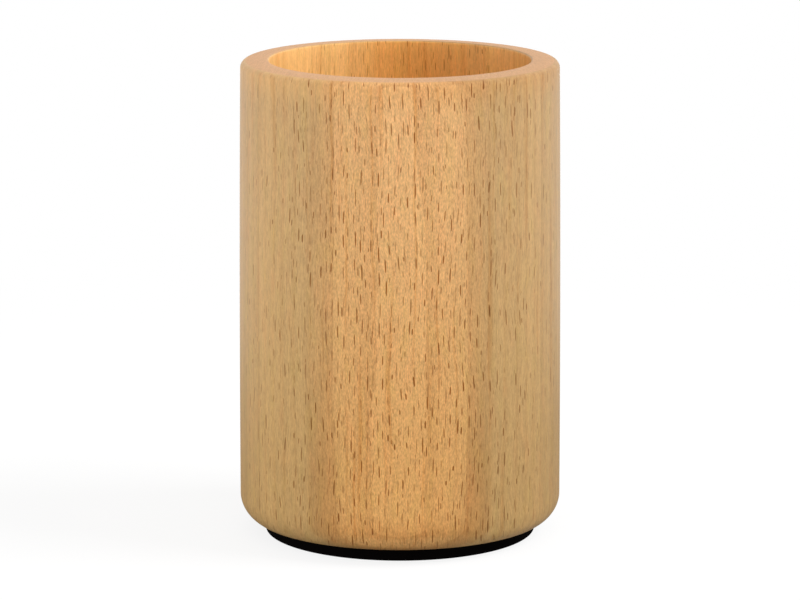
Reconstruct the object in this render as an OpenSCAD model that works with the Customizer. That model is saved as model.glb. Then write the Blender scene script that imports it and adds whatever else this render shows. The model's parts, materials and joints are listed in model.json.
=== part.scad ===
// Turned wooden pen cup
// A through-bored beech sleeve with a rounded base, a floor disc glued up into a rebate in that
// base, and a smaller rubber foot stuck under both with a film of adhesive.
// Millimetres, +Z up, origin at the centre of the rubber foot's underside.

/* [Sleeve] */
// Greatest outside diameter of the turned sleeve, just above its rounded base
sleeve_d = 70; // [60:0.5:90]
// Height of the sleeve by itself, to the inner edge of its rim
sleeve_h = 100.75; // [70:0.25:140]
// Thickness of the wall around the pen well, where the sleeve is widest
wall_t = 6.75; // [5:0.25:10]
// How far the wall has drawn in, along one long curve, where the rim's round starts
rim_draw_in = 0.6; // [0:0.1:2]

/* [Edges] */
// How far the crowned rim falls from the well out to the line of the wall
rim_fall = 0.4; // [0:0.1:1]
// Radius of the rounded outer edge of the rim
rim_outer_r = 1.5; // [0.5:0.1:3]
// Radius of the eased inner edge of the rim
rim_inner_r = 0.45; // [0.05:0.05:1.5]
// Radius of the arc that rounds the sleeve's base
base_round_r = 6; // [4:0.25:9]
// How far that arc draws the sleeve in at its base
base_inset = 3; // [1:0.25:4]

/* [Floor] */
// Thickness of the floor disc
floor_t = 8; // [4:0.5:16]
// Width of the rebate step that the floor disc seats against
rebate_w = 0.75; // [0.5:0.05:2]
// Chamfer on the upper edge of the floor disc, which clears the corner of the rebate
floor_chamfer = 0.3; // [0.1:0.1:0.6]
// Glue gap around the floor disc
glue_gap = 0.05; // [0.02:0.01:0.15]

/* [Rubber foot] */
// Thickness of the rubber foot
rubber_t = 3; // [1.5:0.25:6]
// Distance from the edge of the sleeve's flat base in to the edge of the rubber foot
rubber_margin = 2.5; // [0.5:0.25:5]
// Radius of the rubber foot's lower edge
rubber_edge_r = 0.4; // [0.1:0.1:1]
// Thickness of the adhesive film on top of the rubber foot
film_t = 0.1; // [0.05:0.05:0.3]
// Distance from the rubber foot's edge in to the edge of the film
film_margin = 0.25; // [0.25:0.25:2]

/* [Hidden] */
$fn = 128;
// Overlap that carries a cut clear past the face that it opens
cut = 1;
// Count of shallow cones that make up the wall's long curve, and the rim's crown
wall_cones = 6;
rim_cones = 4;
// How much the rim's round stands proud of the crown where they meet, so that the two cross cleanly
proud = 0.01;

beech = [0.84, 0.65, 0.42];
beech_floor = [0.78, 0.58, 0.36];
film_white = [0.90, 0.89, 0.85];
rubber_black = [0.03, 0.03, 0.03];

sleeve_r = sleeve_d / 2;
well_r = sleeve_r - wall_t;
rebate_r = well_r + rebate_w;
base_r = sleeve_r - base_inset;
// Height over which the base's arc runs up, to where it is tangent to the wall
base_rise = sqrt(pow(base_round_r, 2) - pow(base_round_r - base_inset, 2));
rubber_r = base_r - rubber_margin;
rim_r = sleeve_r - rim_draw_in;
rim_w = rim_r - well_r;
// Slope of the crown's outermost cone, and the circle that rounds it into the wall
rim_slope = atan(rim_fall * (2 * rim_cones - 1) / (rim_cones * rim_w));
round_x = rim_r - rim_outer_r;
round_drop = rim_fall - rim_outer_r * tan(rim_slope) + rim_outer_r / cos(rim_slope) - proud;
// The wall rises from the top of the base's arc to the foot of the rim's round
wall_rise = sleeve_h - base_rise - round_drop;

film_z = rubber_t;
base_z = film_z + film_t;
floor_z = base_z + floor_t;
rim_z = base_z + sleeve_h;
wall_z = base_z + base_rise;
round_z = rim_z - round_drop;

// Points up the outside of the wall, on a parabola that is upright at the top of the base's arc
wall_points = [
    for (i = [0:wall_cones])
        let (share = i / wall_cones)
            [sleeve_r - rim_draw_in * pow(share, 2), wall_z + wall_rise * share]
];

// Points across the rim from the wall in to the well, on a parabola that is level at the well
rim_points = [
    for (i = [rim_cones:-1:0])
        let (share = i / rim_cones)
            [well_r + rim_w * share, rim_z - rim_fall * pow(share, 2)]
];

// Corner of a section between an edge and the arc of radius r that rounds it. The arc's centre is
// the origin, and the corner lies along +X and +Y.
module rounded_corner_waste(r) {
    difference() {
        square(r + cut);
        circle(r);
    }
}

// Waste outside the arc that rounds the sleeve's base
module base_waste() {
    difference() {
        translate([base_r, base_z - cut])
            square([base_inset + cut, base_rise + cut]);
        translate([sleeve_r - base_round_r, wall_z])
            circle(base_round_r);
    }
}

// Waste outside the arc that rounds the rim's outer edge, from where it meets the crown
module rim_waste() {
    difference() {
        translate([round_x + rim_outer_r * sin(rim_slope), round_z])
            square(rim_outer_r + cut);
        translate([round_x, round_z])
            circle(rim_outer_r);
    }
}

// Half section of the sleeve: wall, rebate, rounded rim and rounded base
module sleeve_section() {
    difference() {
        polygon(concat(
            [[well_r, base_z], [sleeve_r, base_z]],
            wall_points,
            rim_points
        ));
        translate([well_r - cut, base_z - cut])
            square([rebate_w + cut, floor_t + cut]);
        rim_waste();
        translate([well_r + rim_inner_r, rim_z - rim_inner_r])
            mirror([1, 0])
                rounded_corner_waste(rim_inner_r);
        base_waste();
    }
}

module cup_sleeve() {
    color(beech)
        rotate_extrude()
            sleeve_section();
}

// The disc comes up from below and stops on the rebate's step, flush with the sleeve's flat base
module floor_disc() {
    disc_r = rebate_r - glue_gap;
    color(beech_floor)
        rotate_extrude()
            polygon([
                [0, base_z],
                [disc_r, base_z],
                [disc_r, floor_z - floor_chamfer],
                [disc_r - floor_chamfer, floor_z],
                [0, floor_z]
            ]);
}

module adhesive_film() {
    color(film_white)
        translate([0, 0, film_z])
            cylinder(r = rubber_r - film_margin, h = film_t);
}

module rubber_foot() {
    color(rubber_black)
        rotate_extrude()
            difference() {
                square([rubber_r, rubber_t]);
                translate([rubber_r - rubber_edge_r, rubber_edge_r])
                    mirror([0, 1])
                        rounded_corner_waste(rubber_edge_r);
            }
}

cup_sleeve();
floor_disc();
adhesive_film();
rubber_foot();
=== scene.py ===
"""Turned beech pen cup: the finish of every piece, and the studio that it stands in.

The cup is four pieces on one axis, with +Z up: a through-bored sleeve, the floor disc that is let into its
base, the film under both and the rubber foot that the cup stands on. Sizes are in metres and come from the
frame, apart from the small edges that are named in each class. The wood's figure is worked out in
millimetres, from where a point lies in the plank that its piece was cut from.
"""

from __future__ import annotations

import json
import logging
import math
from collections.abc import Mapping
from dataclasses import dataclass
from enum import Enum
from typing import Union

import bpy
import numpy as np
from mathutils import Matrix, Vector


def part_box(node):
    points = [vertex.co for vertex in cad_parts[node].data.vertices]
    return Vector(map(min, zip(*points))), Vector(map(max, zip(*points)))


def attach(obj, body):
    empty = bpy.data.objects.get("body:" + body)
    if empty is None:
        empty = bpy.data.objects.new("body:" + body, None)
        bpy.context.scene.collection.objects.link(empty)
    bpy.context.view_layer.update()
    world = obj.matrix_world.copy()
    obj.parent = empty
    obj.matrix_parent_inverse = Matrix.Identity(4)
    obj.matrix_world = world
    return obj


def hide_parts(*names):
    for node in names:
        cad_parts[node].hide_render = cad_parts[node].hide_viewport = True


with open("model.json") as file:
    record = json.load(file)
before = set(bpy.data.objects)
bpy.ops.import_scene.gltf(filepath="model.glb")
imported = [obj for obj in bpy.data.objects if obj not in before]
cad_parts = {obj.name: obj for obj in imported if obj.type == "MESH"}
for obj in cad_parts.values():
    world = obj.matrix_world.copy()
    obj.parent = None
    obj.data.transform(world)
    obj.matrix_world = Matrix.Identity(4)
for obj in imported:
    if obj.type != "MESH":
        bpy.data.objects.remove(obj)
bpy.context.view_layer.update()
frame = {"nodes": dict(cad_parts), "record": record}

LOG = logging.getLogger("pen_cup")
MM = 0.001
PHOTO_WIDTH = 800
SHARP_DEG = 35.0

Colour = tuple[float, float, float]
Place = tuple[float, float, float]

WHITE: Colour = (1.0, 1.0, 1.0)


class Wire:
    """An output socket that takes part in Python arithmetic: each operation adds one Math node."""

    def __init__(self, graph: Graph, socket: bpy.types.NodeSocket) -> None:
        """Keeps the socket, and the graph that it belongs to."""
        self.graph = graph
        self.socket = socket

    def __add__(self, other: Feed) -> Wire:
        """This value plus another."""
        return self.graph.math("ADD", self, other)

    def __radd__(self, other: Feed) -> Wire:
        """Another value plus this one."""
        return self.graph.math("ADD", other, self)

    def __sub__(self, other: Feed) -> Wire:
        """This value less another."""
        return self.graph.math("SUBTRACT", self, other)

    def __rsub__(self, other: Feed) -> Wire:
        """Another value less this one."""
        return self.graph.math("SUBTRACT", other, self)

    def __mul__(self, other: Feed) -> Wire:
        """This value times another."""
        return self.graph.math("MULTIPLY", self, other)

    def __rmul__(self, other: Feed) -> Wire:
        """Another value times this one."""
        return self.graph.math("MULTIPLY", other, self)

    def __truediv__(self, other: Feed) -> Wire:
        """This value over another."""
        return self.graph.math("DIVIDE", self, other)

    def __rtruediv__(self, other: Feed) -> Wire:
        """Another value over this one."""
        return self.graph.math("DIVIDE", other, self)

    def __pow__(self, other: Feed) -> Wire:
        """This value to a power."""
        return self.graph.math("POWER", self, other)

    def __abs__(self) -> Wire:
        """This value without its sign."""
        return self.graph.math("ABSOLUTE", self)


Feed = Union[Wire, float, tuple]


@dataclass(frozen=True)
class Placed:
    """A node that stands in a graph, indexed by the name or the number of an output.

    Args:
        graph: The graph that it stands in.
        node: The node itself.
    """

    graph: Graph
    node: bpy.types.Node

    def __getitem__(self, output: Union[str, int]) -> Wire:
        """The wire that leaves one output."""
        return Wire(self.graph, self.node.outputs[output])


class Graph:
    """A node tree that is being built."""

    MIX_FACTOR = 0
    MIX_COLOURS = (6, 7)
    MIX_RESULT = 2

    def __init__(self, tree: bpy.types.NodeTree) -> None:
        """Empties the tree, so that it holds only what is added here."""
        self.tree = tree
        tree.nodes.clear()

    def node(
        self,
        kind: str,
        settings: Mapping[str, object] | None = None,
        inputs: Mapping[Union[str, int], Feed] | None = None,
    ) -> Placed:
        """Adds one node, sets it up and then feeds its sockets.

        Args:
            kind: The node's type, without its ShaderNode prefix.
            settings: The node's own properties, set first because they decide which sockets it has.
            inputs: Values or wires, by the name or the number of their socket.

        Returns:
            The node, from which an output is taken by name or number.
        """
        made = self.tree.nodes.new("ShaderNode" + kind)
        for name, value in (settings or {}).items():
            setattr(made, name, value)
        for socket, feed in (inputs or {}).items():
            if isinstance(feed, Wire):
                self.tree.links.new(feed.socket, made.inputs[socket])
            else:
                made.inputs[socket].default_value = feed
        return Placed(self, made)

    def math(self, operation: str, *values: Feed) -> Wire:
        """One Math node on one to three values."""
        return self.node("Math", {"operation": operation}, dict(enumerate(values)))[0]

    def smooth(self, value: Wire, low: Feed, high: Feed) -> Wire:
        """Rises from 0 at low to 1 at high in an S, or falls where low is the greater of the two."""
        ends = {"Value": value, "From Min": low, "From Max": high}
        return self.node("MapRange", {"interpolation_type": "SMOOTHSTEP"}, ends)["Result"]

    def blend(self, share: Wire, first: Feed, second: Feed) -> Wire:
        """The first value where share is 0, the second where it is 1, and evenly from one to the other."""
        return share * (second - first) + first

    def point(self, x: Feed, y: Feed, z: Feed = 0.0) -> Wire:
        """A vector of three values."""
        return self.node("CombineXYZ", None, {0: x, 1: y, 2: z})[0]

    def cloud(self, spot: Wire, scale: float, detail: float) -> Wire:
        """Smooth noise from 0 to 1, with as many features to a unit of the place as scale says."""
        return self.node("TexNoise", None, {"Vector": spot, "Scale": scale, "Detail": detail})["Fac"]

    def noise(self, x: Feed, y: Feed, z: Feed = 0.0, detail: float = 2.0) -> Wire:
        """Smooth noise about zero, with features about one unit across and most values within 0.5."""
        return self.cloud(self.point(x, y, z), 1.0, detail) * 2.0 - 1.0

    def mix(self, factor: Feed, under: Feed, over: Feed, blend: str = "MIX") -> Wire:
        """Lays one colour over another.

        Args:
            factor: How much of the upper colour shows, from 0 to 1.
            under: The lower colour.
            over: The upper colour.
            blend: How the two combine, by Blender's name for it.

        Returns:
            The colour that results.
        """
        lower, upper = self.MIX_COLOURS
        feeds = {self.MIX_FACTOR: factor, lower: solid(under), upper: solid(over)}
        made = self.node("Mix", {"data_type": "RGBA", "blend_type": blend}, feeds)
        return made[self.MIX_RESULT]

    def scale(self, colour: Feed, factor: Feed) -> Wire:
        """A colour with its three channels times one value."""
        return self.node("VectorMath", {"operation": "SCALE"}, {0: colour, "Scale": factor})[0]


def solid(colour: Feed) -> Feed:
    """A colour socket's four values from three, with a wire passed on as it is."""
    return (*colour, 1.0) if isinstance(colour, tuple) else colour


def new_graph(name: str) -> tuple[bpy.types.Material, Graph]:
    """A new material and its empty graph.

    Args:
        name: What the material is called.

    Returns:
        The material, and the graph of its nodes.
    """
    material = bpy.data.materials.new(name)
    material.use_nodes = True
    return material, Graph(material.node_tree)


def end_material(graph: Graph, shader: Wire) -> None:
    """Leads a finished shader out of its material."""
    graph.node("OutputMaterial", None, {"Surface": shader})


class GrainDirection(Enum):
    """How a piece lies in its plank.

    Each value names the piece's axes that run along the fibres, across the flat-sawn face and out of it.
    """

    UPRIGHT = ("Z", "X", "-Y")
    ACROSS = ("X", "Y", "Z")

    def turn(self, graph: Graph, vector: Wire) -> tuple[Wire, Wire, Wire]:
        """A vector of the piece as its parts along, across and out of the plank.

        Args:
            graph: The graph that the vector is in.
            vector: A place or a direction on the piece's own axes.

        Returns:
            The parts along the fibres, across the face and out of the face.
        """
        parts = graph.node("SeparateXYZ", None, {0: vector})
        along, across, out = (
            parts[axis[-1]] * -1.0 if axis.startswith("-") else parts[axis] for axis in self.value
        )
        return along, across, out


@dataclass(frozen=True)
class RayFlecks:
    """One size of the wood's rays, which a flat-sawn face cuts as short brown spindles.

    Args:
        spacing: Mean distance between rays across and along the fibres, in millimetres.
        half_length: Shortest and longest half length of a spindle, in millimetres.
        half_width: Half of a spindle's usual width, in millimetres.
        share: How many of the places hold a spindle, from 0 to 1.
        depth: How dark the darkest of them are, from 0 to 1.
        offset: Shift of the pattern, so that two sizes don't line up, in spacings.
    """

    spacing: tuple[float, float]
    half_length: tuple[float, float]
    half_width: float
    share: float
    depth: float
    offset: float

    SCATTER = 0.7
    STAGGER = 0.4
    GIRTHS = (0.65, 1.35)
    DEPTHS = (0.5, 1.0)
    TAPER = 4.0
    SOFT_EDGE = 0.2

    def mask(self, graph: Graph, tangent: Wire, along: Wire, crowd: Wire) -> Wire:
        """Where the spindles lie: each cell of a scatter holds one at its own point.

        A spindle is |across| / half_width + (along / half_length) ** TAPER < 1, measured from that point.
        Each column of cells stands STAGGER of a cell off its neighbour, so that no rows of them show.

        Args:
            graph: The graph to add to.
            tangent: Place along the growth rings, in millimetres.
            along: Place along the fibres, in millimetres.
            crowd: Share of the spindles that this part of the plank keeps, from 0 to 1.

        Returns:
            0 on bare wood, rising to this size's depth in the middle of a spindle.
        """
        wide, tall = self.spacing
        u = tangent / wide + self.offset
        v = along / tall + u * self.STAGGER
        scatter = {"Vector": graph.point(u, v), "Scale": 1.0, "Randomness": self.SCATTER}
        cell = graph.node("TexVoronoi", {"voronoi_dimensions": "2D"}, scatter)
        centre = graph.node("SeparateXYZ", None, {0: cell["Position"]})
        chance = graph.node("SeparateColor", None, {0: cell["Color"]})
        reach = graph.blend(chance[0], *self.half_length)
        girth = graph.blend(chance[1], *self.GIRTHS) * self.half_width
        beside = u - centre[0]
        dx = abs(beside * wide) / girth
        dz = (v - centre[1] - beside * self.STAGGER) * tall / reach
        spindle = graph.smooth(1.0 - dx - dz ** self.TAPER, 0.0, self.SOFT_EDGE)
        kept = graph.math("LESS_THAN", chance[2], crowd * self.share)
        return spindle * kept * graph.blend(chance[1], *self.DEPTHS) * self.depth


@dataclass(frozen=True)
class Plank:
    """Where the points of a piece lie in its plank, as wires. Those that say how much go from 0 to 1.

    Args:
        along: Place along the fibres, in millimetres.
        tangent: Place along the growth rings, in millimetres.
        radial: Distance from the pith, in millimetres.
        rings: Count of rings in from the flat-sawn face.
        flank: How far a point is past the rings nearest that face, into those behind them.
        flat_sawn: How squarely the surface cuts the rays across.
        end_grain: How squarely the surface cuts the fibres across.
        upturned: How much the surface leans towards the far end of the grain.
        turning: How much painted shade falls where the wall is about to turn in at the base.
        undercut: How much the surface leans towards the near end of the grain.
        near_rim: How near a point is to the rim.
        bored: Whether a point is in the well.
        pale: How much painted light that side of the well gets.
        right: How far a point is to the right.
    """

    along: Wire
    tangent: Wire
    radial: Wire
    rings: Wire
    flank: Wire
    flat_sawn: Wire
    end_grain: Wire
    upturned: Wire
    turning: Wire
    undercut: Wire
    near_rim: Wire
    bored: Wire
    pale: Wire
    right: Wire


@dataclass(frozen=True)
class Figure:
    """One scale of smooth noise in the wood.

    Args:
        around: Size of its features along the growth rings, in millimetres.
        along: Their size along the fibres, in millimetres.
        through: Their size from ring to ring, in millimetres.
        detail: How many finer layers it has.
        offset: Shift from ring to ring, so that two scales don't line up, in features.
    """

    around: float
    along: float
    through: float
    detail: float = 2.0
    offset: float = 0.0

    def noise(self, graph: Graph, plank: Plank) -> Wire:
        """The noise at a point of the plank, about zero."""
        depth = plank.radial / self.through + self.offset
        return graph.noise(plank.tangent / self.around, plank.along / self.along, depth, self.detail)


@dataclass(frozen=True)
class BeechFinish:
    """Steamed beech under a satin lacquer.

    Args:
        name: What the material is called.
        grain: How the piece lies in its plank.
        face: Distance from the piece's middle out to its flat-sawn face, in millimetres.
        heart: Colour of the rings nearest that face, at the far end of the grain.
        heart_low: Colour of those rings at the near end, which they deepen to.
        flank: Colour of the rings behind them, at the far end of the grain.
        flank_low: Colour of those rings at the near end.
        bore: Colour of the wood inside the well, made lighter and warmer by painted light.
        bore_pale: Colour of its sides, where more painted light falls.
        end: Colour of the wood where its fibres are cut across.
        pith: Distance from the piece's middle back to the tree's centre, in millimetres.
        ring: Width of a growth ring, in millimetres.
        heart_rings: Count of rings that have the heart's colour.
        ring_drift: Rings that the pattern moves by over each millimetre along the fibres.
        ring_start: Share of a ring that is turned away at the face.
        first_year: Number of the ring at the face, which picks how light it and those behind it are.
        bore_r: Radius that the well's wood lies within, in millimetres, or 0 for a piece without a well.
        base: Place of the rounded base along the fibres, in millimetres, far off for a piece without one.
        rim: Place of the rim along the fibres, in millimetres, far off for a piece without one.
        flecks: The sizes of the wood's rays.
    """

    name: str
    grain: GrainDirection
    face: float
    heart: Colour = (0.785, 0.446, 0.188)
    heart_low: Colour = (0.642, 0.338, 0.110)
    flank: Colour = (0.560, 0.350, 0.156)
    flank_low: Colour = (0.503, 0.309, 0.118)
    # The well's two colours hold painted light
    bore: Colour = (0.86, 0.435, 0.115)
    bore_pale: Colour = (0.865, 0.52, 0.192)
    end: Colour = (0.612, 0.340, 0.165)
    pith: float = 165.0
    ring: float = 2.05
    heart_rings: float = 2.5
    ring_drift: float = 0.0029
    ring_start: float = 0.9
    first_year: float = 287.0
    bore_r: float = 0.0
    base: float = -1000.0
    rim: float = 1000.0
    flecks: tuple[RayFlecks, ...] = (
        RayFlecks((1.25, 5.2), (0.55, 1.95), 0.113, 1.0, 1.0, 0.0),
        RayFlecks((1.1, 4.2), (0.4, 1.1), 0.086, 0.30, 0.80, 41.7),
        RayFlecks((0.6, 2.6), (0.3, 0.8), 0.066, 0.40, 0.45, 73.1),
    )

    # What multiplies the colour in a ray, in late wood, in a vein, and where the hue drifts
    FLECK_TINT = (0.32, 0.16, 0.0)
    LATE_TINT = (0.86, 0.78, 0.70)
    VEIN_TINT = (0.88, 0.78, 0.66)
    PINK_TINT = (1.03, 0.98, 0.98)
    YELLOW_TINT = (0.985, 1.015, 0.955)

    # The scales of the figure, from the finest up
    PORES = Figure(0.22, 0.7, 0.6, 1.0)
    FIBRE = Figure(0.24, 2.2, 0.8, 1.0)
    THREAD = Figure(0.6, 14.0, 1.5)
    VEIN = Figure(1.2, 70.0, 2.5, 1.0, 5.3)
    STREAK = Figure(1.3, 45.0, 3.0, 3.0)
    HUE = Figure(1.8, 9.0, 4.0)

    # How strongly each one shows, on the rings nearest the face and on those behind them
    PORE_TONE = (0.42, 0.18)
    FIBRE_TONE = (0.28, 0.30)
    THREAD_TONE = (0.07, 0.12)
    STREAK_TONE = (0.10, 0.10)
    YEAR_TONE = (0.12, 0.09)
    VEIN_SHARE = (1.0, 0.6)
    # The same where the surface runs along the rays and where it cuts them across
    RAY_TONE = (0.4, 1.0)
    # Noise that counts as a vein, from its edge to its middle, and as a full drift of the hue
    VEIN_STEP = (0.14, 0.46)
    HUE_STEP = 0.5
    # How sharply late wood starts, and how strongly it shows, along the fibres and across them
    LATE_SIDE = (4.0, 0.45)
    LATE_END = (3.0, 0.3)

    # How the fibres sway and the rings wander: size across and along them, and the amount
    SWAY = (12.0, 24.0, 1.2)
    WANDER = (9.0, 60.0, 0.25)
    # Rings past the heart's own over which it turns to flank, and over which the rays thin out
    FLANK_STEP = (-1.4, 1.0)
    CROWD_RINGS = 4.0
    # Share of the rays that is kept there and at the face, and how dark they are for a share of 0 and of 1
    CROWD = (0.43, 1.0)
    CROWD_DEPTH = (0.6, 1.0)
    # How squarely a surface cuts the rays where they start to show, and where they show in full
    RAY_STEP = (0.1, 0.9)

    # How much of the normal lies along the fibres where each part of a piece starts, and where it is full
    END_GRAIN_LEAN = (0.955, 0.992)
    UPTURNED_LEAN = (0.0, 0.6)
    UNDERCUT_LEAN = (-0.05, -0.5)
    TURNING_LEAN = (-0.45, -0.22)
    # Places where each one starts and where it is full, in millimetres: up from the base, down from the rim,
    # out from the bore, and across from the middle, for the painted light in the well and the painted marks
    # on the right
    TURNING_RISE = (8.9, 3.9)
    RIM_REACH = 8.0
    BORE_EDGE = 0.2
    PAINTED_WELL_LIGHT_LEFT = (0.0, -16.0)
    PAINTED_WELL_LIGHT_RIGHT = (3.0, 24.0)
    RIGHT = (-4.0, 14.0)
    # How much painted light the right side of the well gets, where the left side is 1
    PAINTED_WELL_LIGHT_RIGHT_SHARE = 0.75

    # Places along the fibres, in millimetres, over which the colour rises and the seam and the flank deepen
    RISE = (0.0, 100.0)
    SEAM_FALL = (50.0, 5.0)
    FLANK_FALL = (60.0, 0.0)
    # How deep the seam is high up and low down, how much painted shade the heart gets just above the base's
    # round, and how dark the flank is low down
    SEAM_SHARE = (0.3, 1.0)
    TURNING_PAINTED_SHADE = 0.7
    FLANK_SHADE = 0.1
    # What brings the greatest value of flank ** 2 * (1 - flank) to 1
    SEAM_PEAK = 27.0 / 4.0
    # Painted warm glow under the rim: how warm it is made there, on the left and on the right
    PAINTED_RIM_GLOW = (0.5, 0.75)
    # Painted light under the rim: how much lighter it is made there on the heart and on the flank, and the
    # share of that which is left outside the well and in it, and on the left and on the right
    PAINTED_RIM_LIGHT = (0.11, 0.23)
    PAINTED_RIM_LIGHT_BORED = (1.0, 0.15)
    PAINTED_RIM_LIGHT_RIGHT = (1.0, 0.6)
    # Painted shade on the rim's round: how dark it is made on the left, on the heart and on the flank, and on
    # the right
    PAINTED_ROUND_SHADE = (0.20, 0.08)
    PAINTED_ROUND_SHADE_RIGHT = 0.22
    # Painted bounce light on the flank, on the round of the base on the right
    UNDERCUT_PAINTED_BOUNCE = 0.25

    # In end grain: size of the pores, size of the rays across and along them, and where their noise is cut
    END_PORE = 0.24
    END_RAY = (0.4, 2.4)
    END_SLICE = 3.7
    # How strongly the pores and the rays show there, and how much painted shade falls on the right
    END_PORE_TONE = 0.36
    END_RAY_TONE = 0.20
    END_PAINTED_SHADE_RIGHT = 0.08

    # The lacquer's roughness, what the figure and end grain add to it, and how strongly it reflects
    ROUGHNESS = 0.44
    FIGURE_ROUGHNESS = 0.06
    END_ROUGHNESS = 0.12
    SPECULAR = 0.32
    # Relief of the fibres, where that of the rays is 1, and the strength and the depth of both
    FIBRE_RELIEF = 0.5
    RELIEF_STRENGTH = 0.25
    RELIEF_DEPTH = 0.03 * MM

    def material(self) -> bpy.types.Material:
        """Builds the finish.

        Returns:
            The material, which reads the piece's Object coordinates and its normals.
        """
        material, graph = new_graph(self.name)
        plank = self._plank(graph)
        fibre = self.FIBRE.noise(graph, plank)
        flecks = self._flecks(graph, plank)
        side = self._side_grain(graph, plank, fibre, flecks)
        end = self._end_grain(graph, plank)
        rough = (fibre + flecks) * self.FIGURE_ROUGHNESS + plank.end_grain * self.END_ROUGHNESS
        relief = fibre * self.FIBRE_RELIEF - flecks
        bump = {"Strength": self.RELIEF_STRENGTH, "Distance": self.RELIEF_DEPTH, "Height": relief}
        surface = {
            "Base Color": graph.mix(plank.end_grain, side, end),
            "Roughness": self.ROUGHNESS + rough,
            "Specular IOR Level": self.SPECULAR,
            "Normal": graph.node("Bump", None, bump)["Normal"],
        }
        end_material(graph, graph.node("BsdfPrincipled", None, surface)[0])
        return material

    def _plank(self, graph: Graph) -> Plank:
        """Works out where a point lies in the plank.

        The rings are circles about the pith: with the point at (across, pith + out) from it, radial is that
        vector's length, and tangent is its angle times the radius of the face. The fibres sway a little.

        Args:
            graph: The graph to add to.

        Returns:
            The plank's wires.
        """
        spot = graph.node("TexCoord")
        along, across, out = (part / MM for part in self.grain.turn(graph, spot["Object"]))
        n_along, n_across, n_out = self.grain.turn(graph, spot["Normal"])
        behind = out + self.pith
        angle = graph.math("ARCTAN2", across, behind)
        radial = graph.math("SQRT", across * across + behind * behind)
        from_axis = graph.math("SQRT", across * across + out * out)
        front = self.pith + self.face
        sway, wander = (
            graph.noise(across / wide, along / tall, out / wide) * amount
            for wide, tall, amount in (self.SWAY, self.WANDER)
        )
        rings = (front - radial) / self.ring - along * self.ring_drift + wander + self.ring_start
        flank_from, flank_to = (self.heart_rings + step for step in self.FLANK_STEP)
        turn_from, turn_to = (self.base + rise for rise in self.TURNING_RISE)
        # Painted light in the well: full on the left, a share of it on the right
        painted_well_light_right = graph.smooth(across, *self.PAINTED_WELL_LIGHT_RIGHT) * self.PAINTED_WELL_LIGHT_RIGHT_SHARE
        return Plank(
            along=along,
            tangent=angle * front + sway,
            radial=radial,
            rings=rings,
            flank=graph.smooth(rings, flank_from, flank_to),
            flat_sawn=abs(n_across * graph.math("SINE", angle) + n_out * graph.math("COSINE", angle)),
            end_grain=graph.smooth(abs(n_along), *self.END_GRAIN_LEAN),
            upturned=graph.smooth(n_along, *self.UPTURNED_LEAN),
            turning=graph.smooth(along, turn_from, turn_to) * graph.smooth(n_along, *self.TURNING_LEAN),
            undercut=graph.smooth(n_along, *self.UNDERCUT_LEAN),
            near_rim=graph.smooth(along, self.rim - self.RIM_REACH, self.rim),
            bored=graph.smooth(from_axis, self.bore_r + self.BORE_EDGE, self.bore_r),
            pale=graph.smooth(across, *self.PAINTED_WELL_LIGHT_LEFT) + painted_well_light_right,
            right=graph.smooth(across, *self.RIGHT),
        )

    def _flecks(self, graph: Graph, plank: Plank) -> Wire:
        """How dark the rays are at a point: all sizes laid over each other.

        A ray is dark where a face cuts across it, and shows little where the face runs along it.

        Args:
            graph: The graph to add to.
            plank: The plank's wires.

        Returns:
            0 on bare wood, up to 1 in the darkest ray.
        """
        near_face = graph.smooth(plank.rings, self.heart_rings + self.CROWD_RINGS, 0.0)
        crowd = graph.blend(near_face, *self.CROWD)
        bare = None
        for size in self.flecks:
            clear = 1.0 - size.mask(graph, plank.tangent, plank.along, crowd)
            bare = clear if bare is None else bare * clear
        shown = graph.smooth(plank.flat_sawn, *self.RAY_STEP)
        return (1.0 - bare) * shown * graph.blend(crowd, *self.CROWD_DEPTH)

    def _side_grain(self, graph: Graph, plank: Plank, fibre: Wire, flecks: Wire) -> Wire:
        """The colour where a face runs along the fibres.

        Args:
            graph: The graph to add to.
            plank: The plank's wires.
            fibre: Fine noise along the fibres.
            flecks: How dark the rays are.

        Returns:
            The colour.
        """
        colour = self._late_wood(graph, plank, self._ground(graph, plank), *self.LATE_SIDE)
        colour = self._drift(graph, plank, colour)
        tone = 1.0 + self._figure(graph, plank, fibre) + self._edges(graph, plank)
        return graph.mix(flecks, graph.scale(colour, tone), self.FLECK_TINT, "MULTIPLY")

    def _ground(self, graph: Graph, plank: Plank) -> Wire:
        """The colour of the wood: heart and flank with a deeper seam between them, and the well.

        Over it lie painted shade just above the base's round, a painted warm glow under the rim, and painted
        light in the well.

        Args:
            graph: The graph to add to.
            plank: The plank's wires.

        Returns:
            The colour.
        """
        front = 1.0 - plank.flank
        rise = graph.smooth(plank.along, *self.RISE)
        heart = graph.mix(rise, self.heart_low, self.heart)
        behind = graph.mix(rise, self.flank_low, self.flank)
        seam = plank.flank * plank.flank * front * self.SEAM_PEAK
        low = graph.blend(graph.smooth(plank.along, *self.SEAM_FALL), *self.SEAM_SHARE)
        # The seam, with the painted shade on the heart just above the base's round
        deep = seam * low + plank.turning * front * self.TURNING_PAINTED_SHADE
        colour = graph.mix(deep, graph.mix(plank.flank, heart, behind), self.LATE_TINT, "MULTIPLY")
        # Painted warm glow under the rim, stronger on the right
        warm = plank.near_rim * graph.blend(plank.right, *self.PAINTED_RIM_GLOW)
        colour = graph.mix(warm, colour, self.VEIN_TINT, "MULTIPLY")
        # The well's wood, with its painted light on the sides
        return graph.mix(plank.bored, colour, graph.mix(plank.pale, self.bore, self.bore_pale))

    def _late_wood(self, graph: Graph, plank: Plank, colour: Wire, power: float, share: float) -> Wire:
        """Deepens each ring towards its outer edge: by share times (1 - place in the ring) ** power.

        Args:
            graph: The graph to add to.
            plank: The plank's wires.
            colour: The colour so far.
            power: How sharply the late wood starts.
            share: How strongly it shows.

        Returns:
            The colour with its rings.
        """
        late = (1.0 - graph.math("FRACT", plank.rings)) ** power
        return graph.mix(late * share, colour, self.LATE_TINT, "MULTIPLY")

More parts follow.
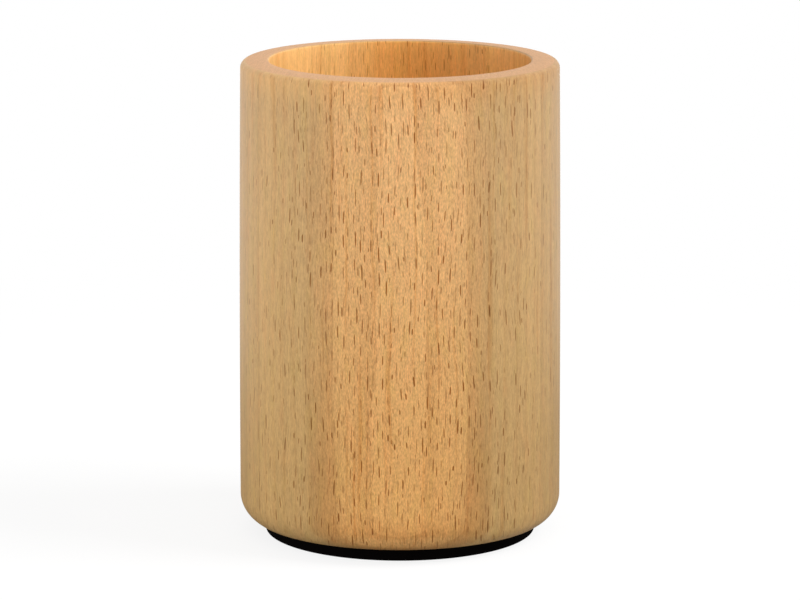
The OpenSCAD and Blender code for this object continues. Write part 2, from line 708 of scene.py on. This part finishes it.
    def _drift(self, graph: Graph, plank: Plank, colour: Wire) -> Wire:
        """Lets the hue drift towards pink and yellow, and lays long warm veins over it.

        Args:
            graph: The graph to add to.
            plank: The plank's wires.
            colour: The colour so far.

        Returns:
            The colour with its drift and its veins.
        """
        hue = self.HUE.noise(graph, plank)
        colour = graph.mix(graph.smooth(hue, 0.0, self.HUE_STEP), colour, self.PINK_TINT, "MULTIPLY")
        colour = graph.mix(graph.smooth(hue, 0.0, -self.HUE_STEP), colour, self.YELLOW_TINT, "MULTIPLY")
        vein = graph.smooth(self.VEIN.noise(graph, plank), *self.VEIN_STEP)
        veined = vein * graph.blend(plank.flank, *self.VEIN_SHARE)
        return graph.mix(veined, colour, self.VEIN_TINT, "MULTIPLY")

    def _figure(self, graph: Graph, plank: Plank, fibre: Wire) -> Wire:
        """How much lighter or darker the figure makes a point, from its year down to its pores.

        Args:
            graph: The graph to add to.
            plank: The plank's wires.
            fibre: Fine noise along the fibres.

        Returns:
            A share of the colour, about zero.
        """
        count = graph.math("FLOOR", plank.rings) + self.first_year
        year = graph.node("TexWhiteNoise", {"noise_dimensions": "1D"}, {"W": count})["Value"] - 0.5
        scales = (
            (self.STREAK.noise(graph, plank), self.STREAK_TONE),
            (self.THREAD.noise(graph, plank), self.THREAD_TONE),
            (fibre, self.FIBRE_TONE),
            (self.PORES.noise(graph, plank), self.PORE_TONE),
        )
        grain = sum(noise * graph.blend(plank.flank, *tone) for noise, tone in scales)
        vivid = graph.blend(plank.flat_sawn, *self.RAY_TONE)
        return year * graph.blend(plank.flank, *self.YEAR_TONE) + grain * vivid

    def _edges(self, graph: Graph, plank: Plank) -> Wire:
        """Painted light and shade at the edges, and a darker flank low down.

        Painted light under the rim, painted bounce light on the base's round, and painted shade on the rim's
        round.

        Args:
            graph: The graph to add to.
            plank: The plank's wires.

        Returns:
            A share of the colour, about zero.
        """
        # Painted light under the rim, less in the well and on the right
        painted_rim_light = plank.near_rim * graph.blend(plank.flank, *self.PAINTED_RIM_LIGHT)
        painted_rim_light = painted_rim_light * graph.blend(plank.bored, *self.PAINTED_RIM_LIGHT_BORED) * graph.blend(plank.right, *self.PAINTED_RIM_LIGHT_RIGHT)
        # Painted bounce light on the base's round, on the right
        painted_bounce = plank.undercut * plank.right * plank.flank * self.UNDERCUT_PAINTED_BOUNCE
        # Painted shade on the rim's round, on the left and on the right
        painted_left_shade = (1.0 - plank.right) * graph.blend(plank.flank, *self.PAINTED_ROUND_SHADE)
        painted_right_shade = (1.0 - plank.bored) * plank.right * self.PAINTED_ROUND_SHADE_RIGHT
        low = graph.smooth(plank.along, *self.FLANK_FALL) * plank.flank * self.FLANK_SHADE
        return painted_rim_light + painted_bounce - plank.upturned * (painted_left_shade + painted_right_shade) - low

    def _end_grain(self, graph: Graph, plank: Plank) -> Wire:
        """The colour where the fibres are cut across: pores, pale rays towards the pith, ring lines and
        painted shade on the right.

        Args:
            graph: The graph to add to.
            plank: The plank's wires.

        Returns:
            The colour.
        """
        wide, tall = self.END_RAY
        pores = graph.noise(plank.tangent / self.END_PORE, plank.radial / self.END_PORE)
        rays = graph.noise(plank.tangent / wide, plank.radial / tall, self.END_SLICE)
        cells = pores * self.END_PORE_TONE + rays * self.END_RAY_TONE
        # Painted shade on the right of the end grain
        tone = 1.0 + cells - plank.right * self.END_PAINTED_SHADE_RIGHT
        return self._late_wood(graph, plank, graph.scale(self.end, tone), *self.LATE_END)


@dataclass(frozen=True)
class RubberFinish:
    """Matt black sheet rubber, with the fine tooth that its calender leaves.

    Args:
        name: What the material is called.
        tone: Its colour, before the cloud lightens or darkens it.
        tooth_scale: How many features of the tooth there are to a metre.
        cloud_scale: How many features of the cloud there are to a metre.
    """

    name: str
    tone: Colour = (0.0022, 0.0016, 0.0016)
    tooth_scale: float = 2200.0
    cloud_scale: float = 90.0

    TOOTH_DETAIL = 3.0
    CLOUD_DETAIL = 2.0
    CLOUD_TONE = (0.6, 1.4)
    ROUGHNESS = (0.72, 0.92)
    SPECULAR = 0.02
    RELIEF_STRENGTH = 0.4
    RELIEF_DEPTH = 0.05 * MM

    def material(self) -> bpy.types.Material:
        """Builds the finish from fine noise in the colour, the roughness and the relief.

        Returns:
            The material, which reads the piece's Object coordinates.
        """
        material, graph = new_graph(self.name)
        spot = graph.node("TexCoord")["Object"]
        tooth = graph.cloud(spot, self.tooth_scale, self.TOOTH_DETAIL)
        cloud = graph.cloud(spot, self.cloud_scale, self.CLOUD_DETAIL)
        bump = {"Strength": self.RELIEF_STRENGTH, "Distance": self.RELIEF_DEPTH, "Height": tooth}
        surface = {
            "Base Color": graph.scale(self.tone, graph.blend(cloud, *self.CLOUD_TONE)),
            "Roughness": graph.blend(tooth, *self.ROUGHNESS),
            "Specular IOR Level": self.SPECULAR,
            "Normal": graph.node("Bump", None, bump)["Normal"],
        }
        end_material(graph, graph.node("BsdfPrincipled", None, surface)[0])
        return material


@dataclass(frozen=True)
class FilmFinish:
    """Off-white double-sided film, a little cloudy.

    Args:
        name: What the material is called.
        tone: Its colour.
        shade: The colour that it drifts to.
        cloud_scale: How many features of that drift there are to a metre.
    """

    name: str
    tone: Colour = (0.80, 0.78, 0.70)
    shade: Colour = (0.70, 0.67, 0.58)
    cloud_scale: float = 160.0

    CLOUD_DETAIL = 4.0
    SHADE_STEP = (0.35, 0.65)
    ROUGHNESS = (0.55, 0.70)

    def material(self) -> bpy.types.Material:
        """Builds the finish from two off-whites that drift into each other.

        Returns:
            The material, which reads the piece's Object coordinates.
        """
        material, graph = new_graph(self.name)
        spot = graph.node("TexCoord")["Object"]
        cloud = graph.cloud(spot, self.cloud_scale, self.CLOUD_DETAIL)
        surface = {
            "Base Color": graph.mix(graph.smooth(cloud, *self.SHADE_STEP), self.tone, self.shade),
            "Roughness": graph.blend(cloud, *self.ROUGHNESS),
        }
        end_material(graph, graph.node("BsdfPrincipled", None, surface)[0])
        return material


@dataclass(frozen=True)
class StudioFinish:
    """Plain white floor paper: it takes the cup's shadow near the cup, and is seen as white further out.

    Args:
        name: What the material is called.
        tone: Its colour as the camera sees it.
        bounce: Its colour for the light that it throws back, away from the cup.
        bounce_near: The same close to the cup.
        least_white: How much even white lightens the shadow next to the cup, from 0 to 1.
        shadow_reach: Distance from the cup's axis within which all this is as next to the cup, in metres.
        bounce_reach: Distance where bounce_near has given way to bounce, in metres.
        white_reach: Distance where the shadow has given way to even white, in metres.
    """

    name: str
    tone: Colour = (0.98, 0.98, 0.98)
    bounce: Colour = (0.05, 0.05, 0.05)
    bounce_near: Colour = (0.30, 0.30, 0.30)
    least_white: float = 0.85
    shadow_reach: float = 0.06
    bounce_reach: float = 0.16
    white_reach: float = 0.30

    def material(self) -> bpy.types.Material:
        """Builds the finish: a matt white that gives way to even white with the distance from the cup.

        Returns:
            The material, which reads the floor's Object coordinates.
        """
        material, graph = new_graph(self.name)
        spot = graph.node("TexCoord")["Object"]
        away = graph.node("VectorMath", {"operation": "LENGTH"}, {0: spot})["Value"]
        camera = graph.node("LightPath")["Is Camera Ray"]
        near = graph.smooth(away, self.bounce_reach, self.shadow_reach)
        bounce = graph.mix(near, self.bounce, self.bounce_near)
        paper = graph.node("BsdfDiffuse", None, {"Color": graph.mix(camera, bounce, self.tone)})[0]
        white = graph.node("Emission", None, {"Color": solid(WHITE), "Strength": 1.0})[0]
        clear = graph.smooth(away, self.shadow_reach, self.white_reach)
        even = graph.blend(clear, camera * self.least_white, 1.0) * seen_directly(graph)
        end_material(graph, graph.node("MixShader", None, {0: even, 1: paper, 2: white})[0])
        return material


def seen_directly(graph: Graph) -> Wire:
    """1 for what is seen, straight or in a reflection or through glass, and 0 for light that bounces."""
    path = graph.node("LightPath")
    seen = graph.math("MAXIMUM", path["Is Camera Ray"], path["Is Glossy Ray"])
    return graph.math("MAXIMUM", seen, path["Is Transmission Ray"])


def straight(start: tuple[float, float], end: tuple[float, float], step: float) -> np.ndarray:
    """Points along a straight stretch of a section, the last one left out.

    Args:
        start: Radius and height of the first point.
        end: Radius and height of the point that the stretch leads to.
        step: Greatest distance between two points.

    Returns:
        An array of radius and height.
    """
    ends = np.array([start, end], float)
    count = max(1, math.ceil(np.linalg.norm(ends[1] - ends[0]) / step))
    share = np.arange(count)[:, None] / count
    return ends[0] + share * (ends[1] - ends[0])


def arc(centre: tuple[float, float], radius: float, start: float, end: float, count: int) -> np.ndarray:
    """Points along an arc of a section, centre + radius * (cos a, sin a), the last one left out.

    Args:
        centre: Radius and height of the arc's centre.
        radius: The arc's own radius.
        start: Angle that the arc starts at, in degrees up from the outward direction.
        end: Angle that it leads to.
        count: How many points.

    Returns:
        An array of radius and height.
    """
    angle = np.radians(start + (end - start) * np.arange(count) / count)
    return np.array(centre) + radius * np.stack([np.cos(angle), np.sin(angle)], axis=1)


def put_mesh(name: str, points: np.ndarray, faces: list[np.ndarray]) -> bpy.types.Object:
    """A new object from points and faces, shaded smooth except across its sharp corners.

    Args:
        name: What the piece is called.
        points: The vertices, one row each.
        faces: Arrays of vertex numbers, each of faces with one count of corners.

    Returns:
        The object, linked to the scene, at the origin.
    """
    mesh = bpy.data.meshes.new(name)
    mesh.from_pydata(points.tolist(), [], [corner for group in faces for corner in group.tolist()])
    mesh.shade_smooth()
    mesh.set_sharp_from_angle(angle=math.radians(SHARP_DEG))
    mesh.update()
    piece = bpy.data.objects.new(name, mesh)
    bpy.context.scene.collection.objects.link(piece)
    return piece


def turn(section: np.ndarray, segments: int) -> np.ndarray:
    """Carries a section round the Z axis: point (i, j) is (r_i cos a_j, r_i sin a_j, z_i).

    Args:
        section: Radius and height of each point.
        segments: How many steps make a full turn. The first is at +Y, so the seam lies at the back.

    Returns:
        The points, an array of section by segments by 3.
    """
    angle = math.pi / 2 + 2 * math.pi * np.arange(segments) / segments
    radius, height = section[:, 0, None], section[:, 1, None]
    level = np.broadcast_to(height, (len(section), segments))
    return np.stack([radius * np.cos(angle), radius * np.sin(angle), level], axis=2)


def band_faces(rows: np.ndarray, segments: int) -> np.ndarray:
    """Quads between rows of a turned grid and the rows that follow them, wound to face outwards.

    Args:
        rows: Pairs of row numbers, the lower one first along the section.
        segments: How many points each row has.

    Returns:
        Vertex numbers, four to a quad, in the order of the rows and then of the segments.
    """
    here = np.arange(segments)
    beyond = (here + 1) % segments
    low, high = rows[:, 0, None] * segments, rows[:, 1, None] * segments
    quads = np.stack([low + here, low + beyond, high + beyond, high + here], axis=2)
    return quads.reshape(-1, 4)


def turned_ring(name: str, section: np.ndarray, segments: int) -> bpy.types.Object:
    """Turns a closed section into a ring, with a UV map of one turn by the section's own length.

    Args:
        name: What the piece is called.
        section: Radius and height of each point, anticlockwise with the radius to the right.
        segments: How many steps make a full turn.

    Returns:
        The ring.
    """
    count = len(section)
    rows = np.stack([np.arange(count), (np.arange(count) + 1) % count], axis=1)
    piece = put_mesh(name, turn(section, segments).reshape(-1, 3), [band_faces(rows, segments)])
    steps = np.linalg.norm(np.roll(section, -1, axis=0) - section, axis=1)
    reach = np.concatenate([[0.0], np.cumsum(steps)]) / steps.sum()
    turn_share = np.arange(segments + 1) / segments
    u = np.stack([turn_share[:-1], turn_share[1:], turn_share[1:], turn_share[:-1]], axis=1)
    v = np.stack([reach[:-1], reach[:-1], reach[1:], reach[1:]], axis=1)
    grid = np.empty((count, segments, 4, 2))
    grid[..., 0] = u[None, :, :]
    grid[..., 1] = v[:, None, :]
    layer = piece.data.uv_layers.new(name="OFBake")
    layer.uv.foreach_set("vector", grid.astype(np.float32).ravel())
    return piece


def turned_disc(name: str, section: np.ndarray, segments: int) -> bpy.types.Object:
    """Turns an open section into a solid, closed at the axis by one vertex below and one above.

    Args:
        name: What the piece is called.
        section: Radius and height from the axis below to the axis above, both ends included.
        segments: How many steps make a full turn.

    Returns:
        The solid.
    """
    poles = np.array([[0.0, 0.0, section[0, 1]], [0.0, 0.0, section[-1, 1]]])
    wall = section[1:-1]
    count = len(wall)
    below, above = count * segments, count * segments + 1
    here = np.arange(segments)
    beyond = (here + 1) % segments
    last = (count - 1) * segments
    bottom = np.stack([np.full(segments, below), beyond, here], axis=1)
    top = np.stack([np.full(segments, above), last + here, last + beyond], axis=1)
    rows = np.stack([np.arange(count - 1), np.arange(1, count)], axis=1)
    points = np.concatenate([turn(wall, segments).reshape(-1, 3), poles])
    return put_mesh(name, points, [band_faces(rows, segments), bottom, top])


def dress(piece: bpy.types.Object, material: bpy.types.Material, node: str) -> bpy.types.Object:
    """Gives a new piece its finish, and puts it in the place of a node of the frame.

    Args:
        piece: The piece.
        material: Its finish.
        node: The node that it stands for.

    Returns:
        The piece.
    """
    piece.data.materials.append(material)
    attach(piece, "root")
    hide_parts(node)
    return piece


@dataclass
class TurnedSleeve:
    """The cup's wall: one turned and bored tube, with a rounded rim and a rounded base.

    Args:
        finish: The wood.
        well_r: Radius of the bore.
        floor_z: Height of the rebate's step, where the well ends.
        rebate_r: Radius of the rebate.
        rim_draw_in: How far the wall has drawn in where the rim's round starts.
        rim_fall: How far the crowned rim would fall out to the line of the wall.
        rim_outer_r: Radius of the rim's outer round.
        rim_inner_r: Radius of the rim's eased inner edge.
        base_round_r: Radius of the arc that rounds the base.
        base_inset: How far that arc draws the base in.
        base_ease: Radius of the eased corner under that arc.
        segments: How many steps make a full turn.
        step: Greatest distance between two points of the section.
        fine_step: The same on its short stretches.
    """

    finish: BeechFinish
    well_r: float
    floor_z: float
    rebate_r: float
    rim_draw_in: float = 0.6 * MM
    rim_fall: float = 0.4 * MM
    rim_outer_r: float = 1.5 * MM
    rim_inner_r: float = 0.45 * MM
    base_round_r: float = 6.0 * MM
    base_inset: float = 3.0 * MM
    base_ease: float = 0.25 * MM
    segments: int = 360
    step: float = 2.0 * MM
    fine_step: float = 0.6 * MM

    EASE_POINTS = 5
    BASE_POINTS = 16
    ROUND_POINTS = 12
    INNER_POINTS = 8

    def section(self) -> np.ndarray:
        """The wall's closed section: rounded foot, wall, crowned rim, bore and rebate.

        The outside is a parabola: it draws in by rim_draw_in times the square of the share of its rise.

        Returns:
            Radius and height of each point.
        """
        low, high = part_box("cup_sleeve")
        r, base, rim = high.x, low.z, high.z
        foot, crown = self._foot(r, base), self._rim(r - self.rim_draw_in, rim)
        outside = straight((r, foot[-1, 1]), (r, crown[0, 1]), self.step)
        outside[:, 0] -= self.rim_draw_in * np.linspace(0.0, 1.0, len(outside), endpoint=False) ** 2
        return np.concatenate([
            foot[:-1],
            outside,
            crown,
            straight((self.well_r, rim - self.rim_inner_r), (self.well_r, self.floor_z), self.step),
            straight((self.well_r, self.floor_z), (self.rebate_r, self.floor_z), self.fine_step),
            straight((self.rebate_r, self.floor_z), (self.rebate_r, base), self.step),
        ])

    def _foot(self, r: float, base: float) -> np.ndarray:
        """The flat base and the arc that rounds it up into the wall, with an eased corner between them.

        The ease is tangent to both, so its centre is base_round_r - base_ease from the centre of that arc.

        Args:
            r: Greatest radius of the sleeve.
            base: Height of its base.

        Returns:
            Radius and height of each point, the last one where the wall starts.
        """
        rise = math.sqrt(self.base_round_r ** 2 - (self.base_round_r - self.base_inset) ** 2)
        centre = (r - self.base_round_r, base + rise)
        apart, drop = self.base_round_r - self.base_ease, rise - self.base_ease
        ease_x = centre[0] + math.sqrt(apart ** 2 - drop ** 2)
        meet = -math.degrees(math.asin(drop / apart))
        return np.concatenate([
            straight((self.rebate_r, base), (ease_x, base), self.fine_step),
            arc((ease_x, base + self.base_ease), self.base_ease, -90.0, meet, self.EASE_POINTS),
            arc(centre, self.base_round_r, meet, 0.0, self.BASE_POINTS),
            [(r, base + rise)],
        ])

    def _rim(self, rim_r: float, rim: float) -> np.ndarray:
        """The rim's round, its crown and its eased inner edge.

        The crown is a parabola that is level at that edge: it falls by bend times the distance squared. The
        round touches it where tan(slope) = 2 * bend * (outer + rim_outer_r * sin(slope) - inner), solved with
        tan(slope) for sin(slope), because the slope is small.

        Args:
            rim_r: Radius of the wall where the round starts.
            rim: Height of the rim.

        Returns:
            Radius and height of each point.
        """
        inner, outer = self.well_r + self.rim_inner_r, rim_r - self.rim_outer_r
        bend = self.rim_fall / (rim_r - inner) ** 2
        slope = math.atan(2 * bend * (outer - inner) / (1 - 2 * bend * self.rim_outer_r))
        meet = outer + self.rim_outer_r * math.sin(slope)
        round_z = rim - bend * (meet - inner) ** 2 - self.rim_outer_r * math.cos(slope)
        crown = straight((meet, rim), (inner, rim), self.fine_step)
        crown[:, 1] -= bend * (crown[:, 0] - inner) ** 2
        return np.concatenate([
            arc((outer, round_z), self.rim_outer_r, 0.0, 90.0 - math.degrees(slope), self.ROUND_POINTS),
            crown,
            arc((inner, rim - self.rim_inner_r), self.rim_inner_r, 90.0, 180.0, self.INNER_POINTS),
        ])

    def build(self) -> bpy.types.Object:
        """Turns and finishes the sleeve."""
        piece = turned_ring("turned_sleeve", self.section(), self.segments)
        return dress(piece, self.finish.material(), "cup_sleeve")


@dataclass
class FloorDisc:
    """The bottom of the well: a disc with a chamfered upper edge, glued up into the sleeve's rebate.

    Args:
        finish: The wood.
        chamfer: Width of the chamfer on its upper edge.
        ease: Radius of its eased lower edge.
        segments: How many steps make a full turn.
        step: Greatest distance between two points of the section.
    """

    finish: BeechFinish
    chamfer: float = 0.3 * MM
    ease: float = 0.1 * MM
    segments: int = 240
    step: float = 1.5 * MM

    EASE_POINTS = 4

    def section(self) -> np.ndarray:
        """The disc's half section, from its underside round its edge to its upper face.

        Returns:
            Radius and height of each point.
        """
        low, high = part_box("floor_disc")
        r, base, top = high.x, low.z, high.z
        return np.concatenate([
            straight((0.0, base), (r - self.ease, base), self.step),
            arc((r - self.ease, base + self.ease), self.ease, -90.0, 0.0, self.EASE_POINTS),
            straight((r, base + self.ease), (r, top - self.chamfer), self.step),
            straight((r, top - self.chamfer), (r - self.chamfer, top), self.step),
            straight((r - self.chamfer, top), (0.0, top), self.step),
            [(0.0, top)],
        ])

    def build(self) -> bpy.types.Object:
        """Turns and finishes the disc."""
        piece = turned_disc("well_floor", self.section(), self.segments)
        return dress(piece, self.finish.material(), "floor_disc")


@dataclass
class RubberFoot:
    """The black disc that the cup stands on, a little softened at its edges.

    Args:
        finish: The rubber.
        lower_r: Radius of its lower edge.
        upper_r: Radius of its upper edge.
        segments: How many steps make a full turn.
        step: Greatest distance between two points of the section.
    """

    finish: RubberFinish
    lower_r: float = 0.4 * MM
    upper_r: float = 0.1 * MM
    segments: int = 240
    step: float = 1.5 * MM

    LOWER_POINTS = 8
    UPPER_POINTS = 4

    def section(self) -> np.ndarray:
        """The foot's half section, from its underside round its edge to its upper face.

        Returns:
            Radius and height of each point.
        """
        low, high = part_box("rubber_foot")
        r, base, top = high.x, low.z, high.z
        return np.concatenate([
            straight((0.0, base), (r - self.lower_r, base), self.step),
            arc((r - self.lower_r, base + self.lower_r), self.lower_r, -90.0, 0.0, self.LOWER_POINTS),
            straight((r, base + self.lower_r), (r, top - self.upper_r), self.step),
            arc((r - self.upper_r, top - self.upper_r), self.upper_r, 0.0, 90.0, self.UPPER_POINTS),
            straight((r - self.upper_r, top), (0.0, top), self.step),
            [(0.0, top)],
        ])

    def build(self) -> bpy.types.Object:
        """Cuts and finishes the foot."""
        piece = turned_disc("rubber_foot_disc", self.section(), self.segments)
        return dress(piece, self.finish.material(), "rubber_foot")


@dataclass
class AdhesiveFilm:
    """The film between the wood and the rubber foot, which keeps the frame's own shape.

    Args:
        finish: The film's look.
    """

    finish: FilmFinish

    def build(self) -> bpy.types.Object:
        """Finishes the film."""
        piece = frame["nodes"]["adhesive_film"]
        piece.data.materials.clear()
        piece.data.materials.append(self.finish.material())
        return piece


@dataclass(frozen=True)
class SoftLamp:
    """An oblong lamp that hangs at a place and faces another.

    Args:
        name: What the lamp is called.
        place: Where it hangs.
        aim: The place that it faces.
        width: Its width.
        height: Its height.
        power: Its power, in watts.
    """

    name: str
    place: Place
    aim: Place
    width: float
    height: float
    power: float

    def build(self) -> None:
        """Hangs the lamp."""
        light = bpy.data.lights.new(self.name, "AREA")
        light.shape = "RECTANGLE"
        light.size = self.width
        light.size_y = self.height
        light.energy = self.power
        lamp = bpy.data.objects.new(self.name, light)
        lamp.visible_glossy = False
        lamp.visible_camera = False
        lamp.location = self.place
        lamp.rotation_euler = (Vector(self.aim) - Vector(self.place)).to_track_quat("-Z", "Y").to_euler()
        bpy.context.scene.collection.objects.link(lamp)


@dataclass
class Studio:
    """The white floor, the even light all round, the lamps and the camera.

    Args:
        floor_finish: The floor's paper.
        floor_half: Half of the floor's side.
        floor_drop: How far under the foot the floor lies.
        sky_level: Strength of the even light.
        camera_back: How far in front of the cup's axis the camera stands.
        camera_height: How high it stands.
        camera_pitch: How far it looks down, in radians.
        focal_px: Its focal length, in pixels of the photo.
        lamps: The lamps.
    """

    floor_finish: StudioFinish
    floor_half: float = 12.0
    floor_drop: float = 0.05 * MM
    sky_level: float = 0.60
    camera_back: float = 0.8776
    camera_height: float = 0.2282
    camera_pitch: float = 0.1994
    focal_px: float = 4111.4
    lamps: tuple[SoftLamp, ...] = (
        SoftLamp("key", (1.24, -0.24, 1.30), (0.0, 0.0, 0.10), 0.80, 0.80, 24.0),
        SoftLamp("left_fill", (-0.70, -0.12, 0.055), (0.0, 0.0, 0.055), 0.50, 0.10, 2.6),
        SoftLamp("front_fill", (0.0, -0.70, 0.09), (0.0, 0.0, 0.07), 0.50, 0.10, 1.35),
        SoftLamp("back_fill", (0.0, 0.70, 0.055), (0.0, 0.0, 0.055), 0.50, 0.10, 1.2),
        SoftLamp("top_fill", (0.0, -0.40, 0.28), (0.0, 0.0, 0.08), 0.30, 0.10, 0.20),
    )

    def build(self) -> None:
        """Sets the studio up."""
        self._floor()
        self._sky()
        for lamp in self.lamps:
            lamp.build()
        self._camera()
        bpy.context.scene.view_settings.view_transform = "Standard"

    def _floor(self) -> None:
        """Lays the floor just under the foot, as one square."""
        corners = np.array([[-1, -1, 0], [1, -1, 0], [1, 1, 0], [-1, 1, 0]], float) * self.floor_half
        corners[:, 2] = -self.floor_drop
        floor = put_mesh("studio_floor", corners, [np.array([[0, 1, 2, 3]])])
        floor.data.materials.append(self.floor_finish.material())

    def _sky(self) -> None:
        """Lights the cup evenly from all round, and shows white where it is seen."""
        world = bpy.data.worlds.new("studio_sky")
        world.use_nodes = True
        bpy.context.scene.world = world
        graph = Graph(world.node_tree)
        level = graph.blend(seen_directly(graph), self.sky_level, 1.0)
        sky = graph.node("Background", None, {"Color": solid(WHITE), "Strength": level})[0]
        graph.node("OutputWorld", None, {"Surface": sky})

    def _camera(self) -> None:
        """Stands the camera in front of the cup, looking down at it a little."""
        lens = bpy.data.cameras.new("camera")
        lens.lens = lens.sensor_width * self.focal_px / PHOTO_WIDTH
        camera = bpy.data.objects.new("camera", lens)
        camera.location = (0.0, -self.camera_back, self.camera_height)
        camera.rotation_euler = (math.pi / 2 - self.camera_pitch, 0.0, 0.0)
        bpy.context.scene.collection.objects.link(camera)
        bpy.context.scene.camera = camera


def main() -> None:
    """Builds the cup's pieces in order, and then the studio."""
    logging.basicConfig(level=logging.INFO, format="%(name)s: %(message)s")
    well = next(mount for mount in frame["record"]["mounts"] if mount["name"] == "pen_well")
    glue_gap = 0.05 * MM
    _, disc_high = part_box("floor_disc")
    wall_low, wall_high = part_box("cup_sleeve")
    well_mm = well["dims"]["r_mm"]
    wall_beech = BeechFinish(
        "beech_upright",
        GrainDirection.UPRIGHT,
        face=wall_high.x / MM,
        bore_r=well_mm,
        base=wall_low.z / MM,
        rim=wall_high.z / MM,
    )
    floor_beech = BeechFinish(
        "beech_across", GrainDirection.ACROSS, face=disc_high.z / MM, pith=60.0, heart_rings=1.0
    )
    pieces = (
        TurnedSleeve(wall_beech, well_mm * MM, disc_high.z, disc_high.x + glue_gap),
        FloorDisc(floor_beech),
        AdhesiveFilm(FilmFinish("cloudy_film")),
        RubberFoot(RubberFinish("black_sheet_rubber")),
    )
    for piece in pieces:
        made = piece.build()
        LOG.info("%s: %s, %d faces", type(piece).__name__, made.name, len(made.data.polygons))
    Studio(StudioFinish("white_paper")).build()


if __name__ == "__main__":
    main()
